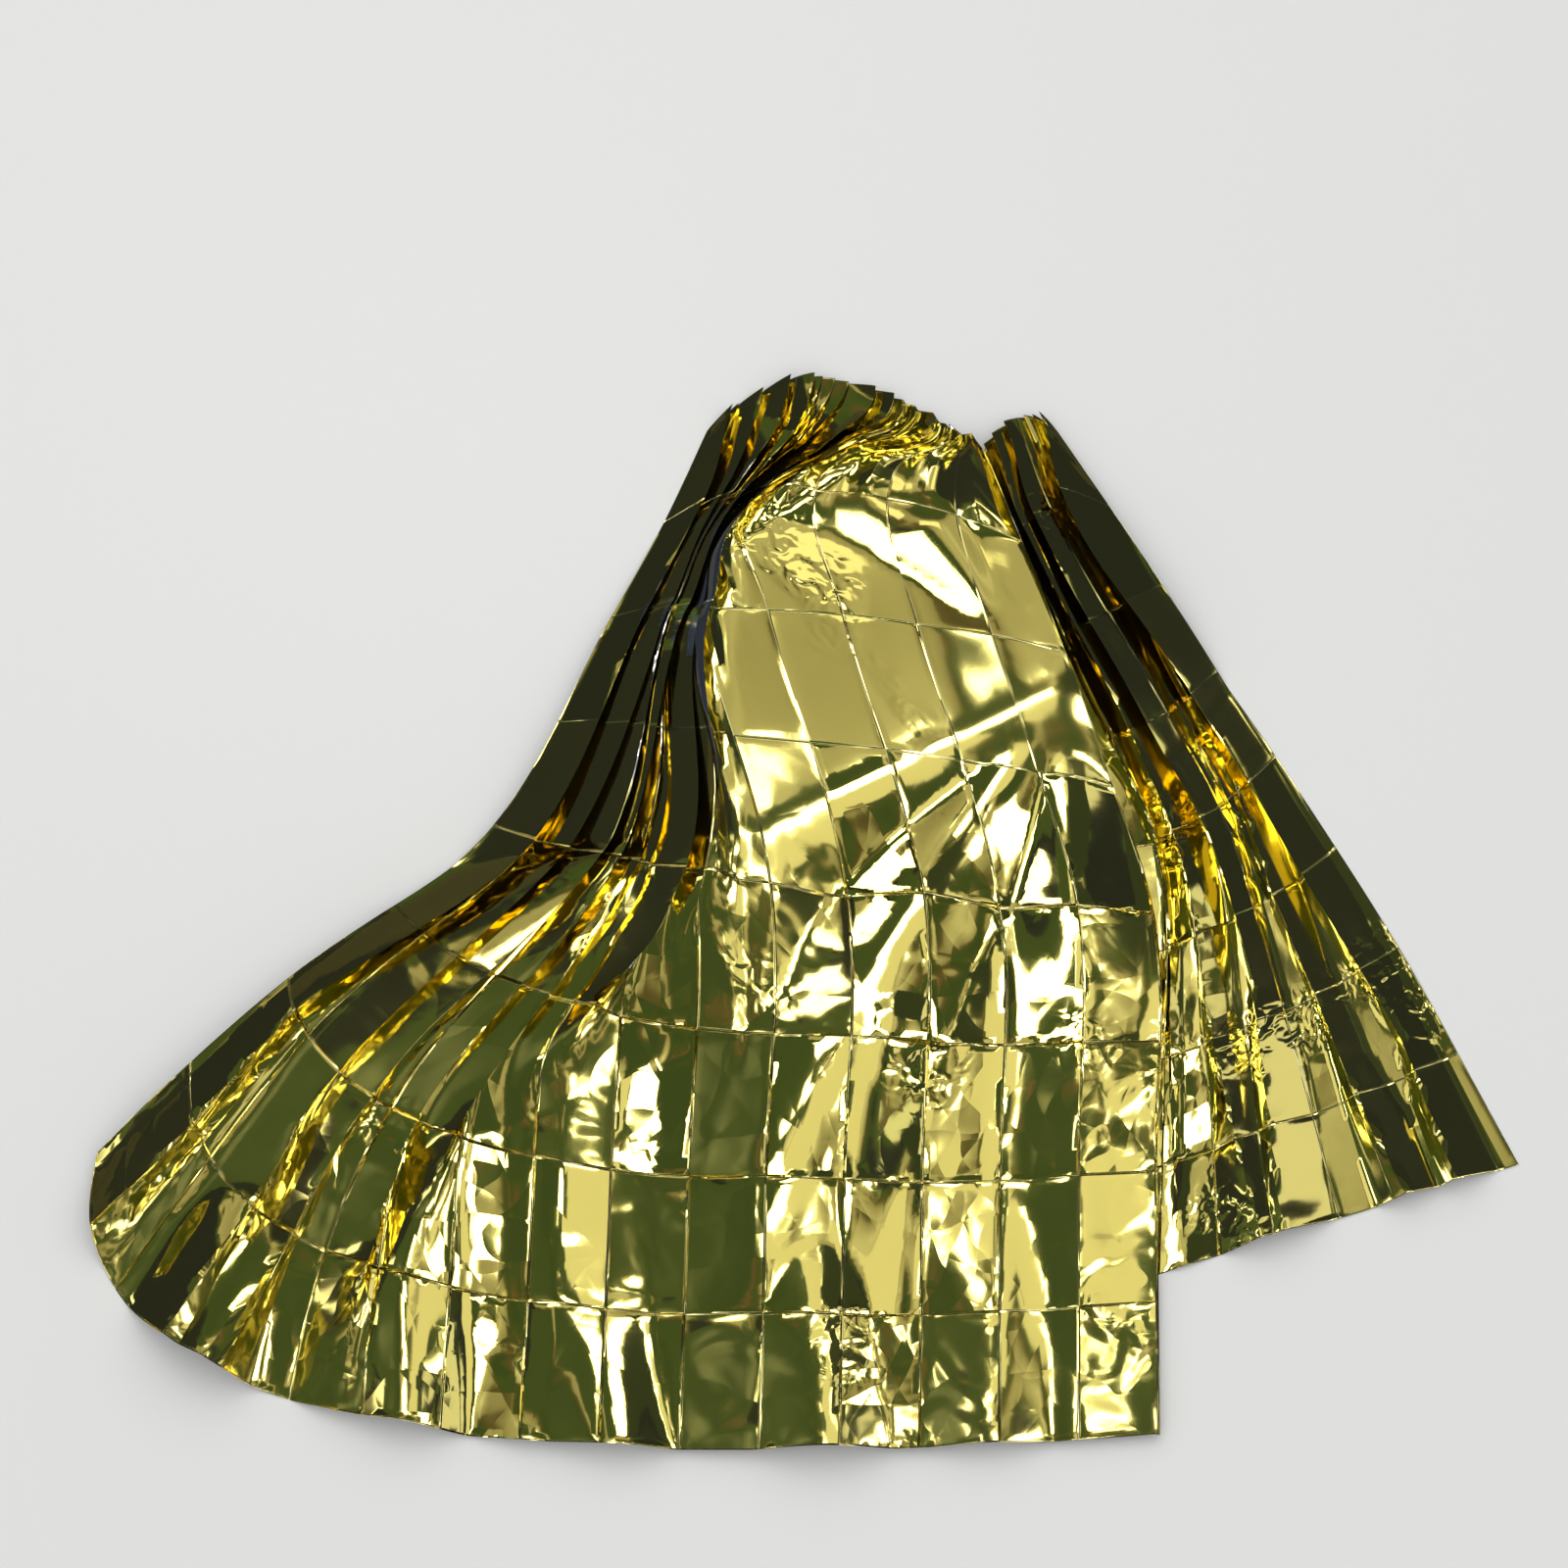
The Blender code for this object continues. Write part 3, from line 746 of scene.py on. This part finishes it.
# Away from the camera between the sides: paler and calmer, but for the lowest part.
WORLD_BEHIND = (0.42, 0.52)
WORLD_BEHIND_LIFT = 0.072
WORLD_BEHIND_CALM = 0.80
WORLD_FAR = (0.74, 0.82)
WORLD_FAR_LOWER = 0.10
# Towards the camera and to the left: darker. To the right: paler.
WORLD_FRONT = (0.25, -0.10)
WORLD_FRONT_LOWER = 0.05
WORLD_LEFT = (-0.20, -0.36)
WORLD_LEFT_LOWER = 0.09
WORLD_SLANT = (-0.25, 0.10)
WORLD_SLANT_RISE = 0.055
# Near the horizon, but not away from the camera, there are no zones and this is the middle.
WORLD_LEVEL = (0.54, 0.42)
WORLD_LEVEL_Y = (0.16, 0.02)
WORLD_LEVEL_MIDDLE = 0.530
# Bluish black, dark green, brown, khaki, white.
WORLD_STOPS = (
    (0.32, (0.024, 0.030, 0.042)),
    (0.41, (0.033, 0.041, 0.058)),
    (0.43, (0.052, 0.085, 0.050)),
    (0.50, (0.068, 0.108, 0.055)),
    (0.51, (0.100, 0.090, 0.065)),
    (0.535, (0.140, 0.115, 0.080)),
    (0.545, (0.34, 0.33, 0.26)),
    (0.60, (0.52, 0.51, 0.43)),
    (0.65, (0.95, 0.95, 0.90)),
    (0.66, (1.0, 1.0, 1.0)),
)
# White patches are lamps, this many times brighter than white.
WORLD_WHITE = (0.645, 0.665)
WORLD_WHITE_TIMES = 8.0
# What lights the floor.
WORLD_PALE = (0.86, 0.86, 0.86)

# ---- Lamps and cards ----
CARD_FIELDS = ("name", "place", "size", "brightness")
KEY = ("key", (-1.4, 2.2, 3.4), (2.4, 2.4), 0.8)
CARDS = (
    ("card_left", (-2.9, 0.6, 2.2), (0.30, 2.4), 2.0),
    ("card_right", (2.9, 0.9, 2.0), (0.30, 2.4), 0.9),
    ("card_front", (1.0, -3.0, 2.6), (1.2, 0.5), 4.0),
    ("box_right", (2.2, -0.1, 2.7), (0.7, 1.0), 6.0),
    ("box_left", (-1.85, -0.05, 2.8), (0.6, 1.0), 6.0),
    ("box_over", (0.25, 0.2, 2.9), (0.9, 0.35), 6.0),
)
# Level cards close over the film, dark or bright: turn is in degrees, and times is the colour's strength.
FLAG_FIELDS = ("name", "place", "size", "turn", "colour", "times")
FLAGS = (
    ("flag_left", (-1.42, 0.00, 1.5), (1.46, 1.20), 0, (0.062, 0.098, 0.055), 1),
    ("flag_ridge", (-0.19, 0.49, 1.5), (0.62, 0.70), 0, (0.062, 0.098, 0.055), 1),
    ("card_middle", (0.395, 0.14, 1.5), (0.48, 0.58), 0, (1.0, 0.98, 0.86), 0.95),
    ("flag_right", (1.19, 0.80, 1.5), (1.00, 1.00), 0, (0.040, 0.056, 0.048), 1),
    ("card_ridge", (0.19, 0.26, 1.0), (0.50, 0.18), 25, (1.0, 1.0, 1.0), 6),
    ("card_neck", (-0.52, 0.745, 1.0), (0.46, 0.37), 0, (1.0, 1.0, 1.0), 5),
    ("card_top", (-0.08, 1.34, 1.0), (0.50, 0.28), 0, (1.0, 0.98, 0.86), 1.4),
    ("card_neck_low", (-0.23, 0.65, 1.0), (0.10, 0.20), 0, (1.0, 1.0, 1.0), 5),
)

# ---- Floor and camera ----
FLOOR_SIZE = 30
FLOOR_ROUGHNESS = 0.7
FLOOR_MIRRORED = (0.03, 0.03, 0.025)
CAMERA_LENS = 110
CAMERA_TARGET = (-0.025, 0.133, 0.0)
CAMERA_ELEVATION = 70
CAMERA_DISTANCE = 5.46


def area_light(name, place, size, brightness):
    """A softbox turned to the blanket. brightness is how much brighter than white paper it looks."""
    lamp = bpy.data.lights.new(name, "AREA")
    lamp.shape = "RECTANGLE"
    lamp.size, lamp.size_y = size
    lamp.energy = brightness * np.pi * size[0] * size[1]
    holder = bpy.data.objects.new(name, lamp)
    holder.location = place
    holder.rotation_mode = "QUATERNION"
    holder.rotation_quaternion = (-Vector(place)).to_track_quat("-Z", "Y")
    bpy.context.scene.collection.objects.link(holder)
    return holder


def flag(name, place, size, turn, colour, times):
    """A card close overhead, dark or bright, that only the film's mirror image shows."""
    bpy.ops.mesh.primitive_plane_add(size=1, location=place, rotation=(0, 0, np.radians(turn)))
    card = bpy.context.object
    card.name = name
    card.scale = (*size, 1)
    material = bpy.data.materials.new(name)
    material.use_nodes = True
    shader = material.node_tree.nodes["Principled BSDF"]
    shader.inputs["Base Color"].default_value = (0, 0, 0, 1)
    shader.inputs["Specular IOR Level"].default_value = 0.0
    shader.inputs["Emission Color"].default_value = (*colour, 1)
    shader.inputs["Emission Strength"].default_value = times
    card.data.materials.append(material)
    card.visible_camera = card.visible_diffuse = card.visible_shadow = False


def room_value(nodes):
    """The mirrored room's value in each direction: noise, raised or lowered by the zones."""
    math, step = nodes.math, nodes.step
    direction = nodes.add("TexCoord", {}).outputs["Generated"]
    patches = {"Vector": direction, "W": WORLD_SEED, "Scale": WORLD_PATCHES, "Detail": 1.0}
    noise = nodes.add("TexNoise", patches, noise_dimensions="4D").outputs["Fac"]
    x, y, z = nodes.add("SeparateXYZ", {"Vector": direction}).outputs
    sides = math("MULTIPLY", step(math("ABSOLUTE", x), WORLD_SIDES_X), step(y, WORLD_SIDES_Y))
    behind = math("MULTIPLY", step(y, WORLD_BEHIND), math("SUBTRACT", 1.0, sides))
    unevenness = math("SUBTRACT", 1.0, math("MULTIPLY", behind, WORLD_BEHIND_CALM))
    uneven = math("MULTIPLY", math("SUBTRACT", noise, 0.5), unevenness)
    lowered = math("MULTIPLY", sides, WORLD_SIDES_LOWER)
    lift = math("SUBTRACT", math("MULTIPLY", behind, WORLD_BEHIND_LIFT), lowered)
    lift = math("SUBTRACT", lift, math("MULTIPLY", step(y, WORLD_FAR), WORLD_FAR_LOWER))
    middle = math("MULTIPLY_ADD", step(x, WORLD_SLANT), WORLD_SLANT_RISE, WORLD_MIDDLE)
    value = math("ADD", math("ADD", uneven, middle), lift)
    value = math("SUBTRACT", value, math("MULTIPLY", step(y, WORLD_FRONT), WORLD_FRONT_LOWER))
    left = math("MULTIPLY", step(x, WORLD_LEFT), math("SUBTRACT", 1.0, behind))
    value = math("SUBTRACT", value, math("MULTIPLY", left, WORLD_LEFT_LOWER))
    value = math("MAXIMUM", value, math("SUBTRACT", WORLD_LOWEST, lowered))
    level = math("MULTIPLY", step(z, WORLD_LEVEL), step(y, WORLD_LEVEL_Y))
    around = math("ADD", noise, WORLD_LEVEL_MIDDLE - 0.5)
    return math("MULTIPLY_ADD", math("SUBTRACT", around, value), level, value)


def studio_world():
    """A pale world for the floor. The film mirrors a dark room instead, with bright and dark patches."""
    world = bpy.data.worlds.new("studio")
    bpy.context.scene.world = world
    world.use_nodes = True
    nodes = Nodes(world.node_tree)
    value = room_value(nodes)
    ramp = nodes.add("ValToRGB", {"Fac": value})
    while len(ramp.color_ramp.elements) < len(WORLD_STOPS):
        ramp.color_ramp.elements.new(0.5)
    for element, (position, colour) in zip(ramp.color_ramp.elements, WORLD_STOPS):
        element.position = position
        element.color = (*colour, 1)
    mirrored = nodes.add("LightPath", {}).outputs["Is Glossy Ray"]
    lamps = {"Value": value, "From Min": WORLD_WHITE[0], "From Max": WORLD_WHITE[1], "To Min": 1.0}
    lamps = nodes.add("MapRange", {**lamps, "To Max": WORLD_WHITE_TIMES}).outputs["Result"]
    strength = nodes.add("Mix", {"Factor": mirrored, "A": 1.0, "B": lamps}).outputs["Result"]
    colour = nodes.mix_colours(mirrored, (*WORLD_PALE, 1), ramp.outputs["Color"])
    background = world.node_tree.nodes["Background"]
    nodes.feed(background.inputs["Color"], colour)
    nodes.feed(background.inputs["Strength"], strength)


def lay_floor(paint):
    """A plain floor, which the film mirrors as a dark one."""
    bpy.ops.mesh.primitive_plane_add(size=FLOOR_SIZE)
    plane = bpy.context.object
    plane.name = "floor"
    material = bpy.data.materials.new("floor_paint")
    material.use_nodes = True
    nodes = Nodes(material.node_tree)
    mirrored = nodes.add("LightPath", {}).outputs["Is Glossy Ray"]
    shader = material.node_tree.nodes["Principled BSDF"]
    nodes.feed(shader.inputs["Roughness"], FLOOR_ROUGHNESS)
    nodes.feed(shader.inputs["Base Color"], nodes.mix_colours(mirrored, (*paint, 1), (*FLOOR_MIRRORED, 1)))
    plane.data.materials.append(material)


def place_camera():
    """The camera, above the front of the blanket."""
    lens = bpy.data.cameras.new("camera")
    lens.lens = CAMERA_LENS
    eye = bpy.data.objects.new("camera", lens)
    bpy.context.scene.collection.objects.link(eye)
    elevation = np.radians(CAMERA_ELEVATION)
    away = Vector((0, -np.cos(elevation), np.sin(elevation)))
    eye.location = Vector(CAMERA_TARGET) + away * CAMERA_DISTANCE
    eye.rotation_mode = "QUATERNION"
    eye.rotation_quaternion = (-away).to_track_quat("-Z", "Y")
    bpy.context.scene.camera = eye


class FOIL_OT_stage(bpy.types.Operator):
    """Make the floor, the lights and the camera"""

    bl_idname = "foil.stage"
    bl_label = "Set the stage"

    def execute(self, context):
        lay_floor(context.scene.foil_blanket.floor)
        studio_world()
        key = area_light(**dict(zip(CARD_FIELDS, KEY)))
        key.visible_glossy = False
        for line in CARDS:
            card = area_light(**dict(zip(CARD_FIELDS, line)))
            card.visible_diffuse = False
        for line in FLAGS:
            flag(**dict(zip(FLAG_FIELDS, line)))
        place_camera()
        context.scene.view_settings.view_transform = "Standard"
        return {"FINISHED"}


class FOIL_PT_panel(bpy.types.Panel):
    """The steps of the making"""

    bl_idname = "FOIL_PT_panel"
    bl_label = "Foil Blanket"
    bl_space_type = "VIEW_3D"
    bl_region_type = "UI"
    bl_category = "Foil Blanket"

    def draw(self, context):
        settings = context.scene.foil_blanket
        for name in FoilBlanketSettings.__annotations__:
            self.layout.prop(settings, name)
        for operator in (FOIL_OT_blanket, FOIL_OT_stage):
            self.layout.operator(operator.bl_idname)


CLASSES = (FoilBlanketSettings, FOIL_OT_blanket, FOIL_OT_stage, FOIL_PT_panel)


def register():
    for cls in CLASSES:
        bpy.utils.register_class(cls)
    bpy.types.Scene.foil_blanket = bpy.props.PointerProperty(type=FoilBlanketSettings)


def unregister():
    del bpy.types.Scene.foil_blanket
    for cls in reversed(CLASSES):
        bpy.utils.unregister_class(cls)


def main():
    register()
    bpy.ops.foil.stage()
    bpy.ops.foil.blanket()


if __name__ == "__main__":
    main()
